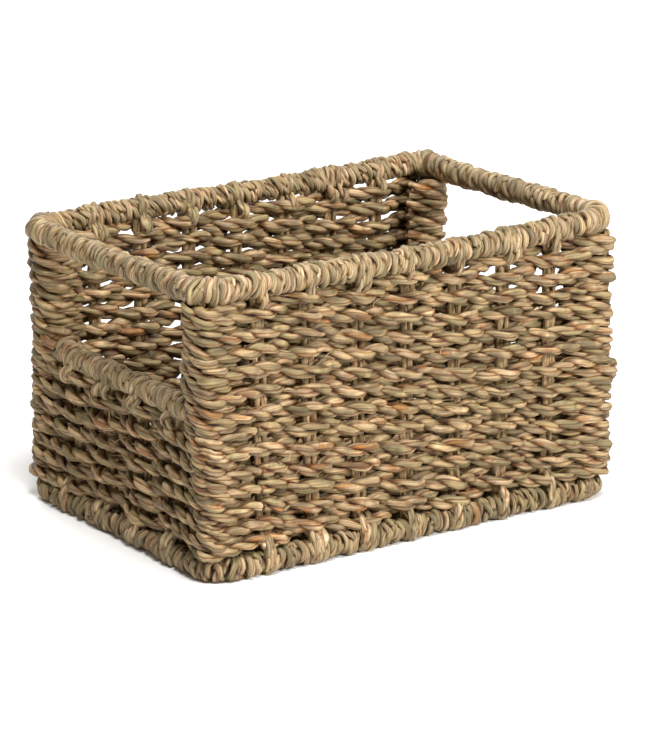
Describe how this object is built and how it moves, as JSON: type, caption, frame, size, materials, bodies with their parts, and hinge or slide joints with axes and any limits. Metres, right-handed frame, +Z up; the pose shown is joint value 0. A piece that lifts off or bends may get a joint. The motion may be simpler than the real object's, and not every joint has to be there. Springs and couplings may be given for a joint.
{
  "type": "seagrass storage basket",
  "caption": "Open rectangular storage basket of woven seagrass cord on a hidden wire frame, with wrapped rims and a handle opening in each end wall",
  "frame": {"origin": "on the floor, in the middle of the basket", "axes": "X along the basket's length, Y across it from front to back, Z up"},
  "size_m": [0.302, 0.207, 0.18],
  "materials": {
    "rim_wrapping": "pale seagrass strands wound tightly side by side, matte with a dry sheen",
    "woven_rows": "two-ply twisted seagrass cord, straw to olive with orange and brown strands, matte",
    "stakes": "thin twisted seagrass cord in the shade between the rows, matte",
    "frame_wire": "plain drawn steel wire, dull grey"
  },
  "bodies": {
    "root": {"top_hoop_wire": "frame_wire", "bottom_hoop_wire": "frame_wire", "corner_post_front_left": "frame_wire", "corner_post_front_right": "frame_wire", "corner_post_back_left": "frame_wire", "corner_post_back_right": "frame_wire", "handle_sill_wire_left": "frame_wire", "handle_sill_wire_right": "frame_wire", "top_rim_wrap_front": "rim_wrapping", "top_rim_wrap_back": "rim_wrapping", "handle_grip_wrap_left": "rim_wrapping", "handle_grip_wrap_right": "rim_wrapping", "top_corner_wrap_front_left": "rim_wrapping", "top_corner_wrap_front_right": "rim_wrapping", "top_corner_wrap_back_left": "rim_wrapping", "top_corner_wrap_back_right": "rim_wrapping", "handle_sill_wrap_left": "rim_wrapping", "handle_sill_wrap_right": "rim_wrapping", "bottom_rim_wrap_front": "rim_wrapping", "bottom_rim_wrap_back": "rim_wrapping", "bottom_rim_wrap_left": "rim_wrapping", "bottom_rim_wrap_right": "rim_wrapping", "bottom_corner_wrap_front_left": "rim_wrapping", "bottom_corner_wrap_front_right": "rim_wrapping", "bottom_corner_wrap_back_left": "rim_wrapping", "bottom_corner_wrap_back_right": "rim_wrapping", "front_wall_stakes": "stakes", "back_wall_stakes": "stakes", "left_wall_stakes": "stakes", "right_wall_stakes": "stakes", "base_stakes": "stakes", "front_wall_rows": "woven_rows", "back_wall_rows": "woven_rows", "left_wall_rows": "woven_rows", "right_wall_rows": "woven_rows", "base_rows_woven": "woven_rows", "post_turns_front_left": "woven_rows", "post_turns_front_right": "woven_rows", "post_turns_back_left": "woven_rows", "post_turns_back_right": "woven_rows"}
  },
  "joints": []
}
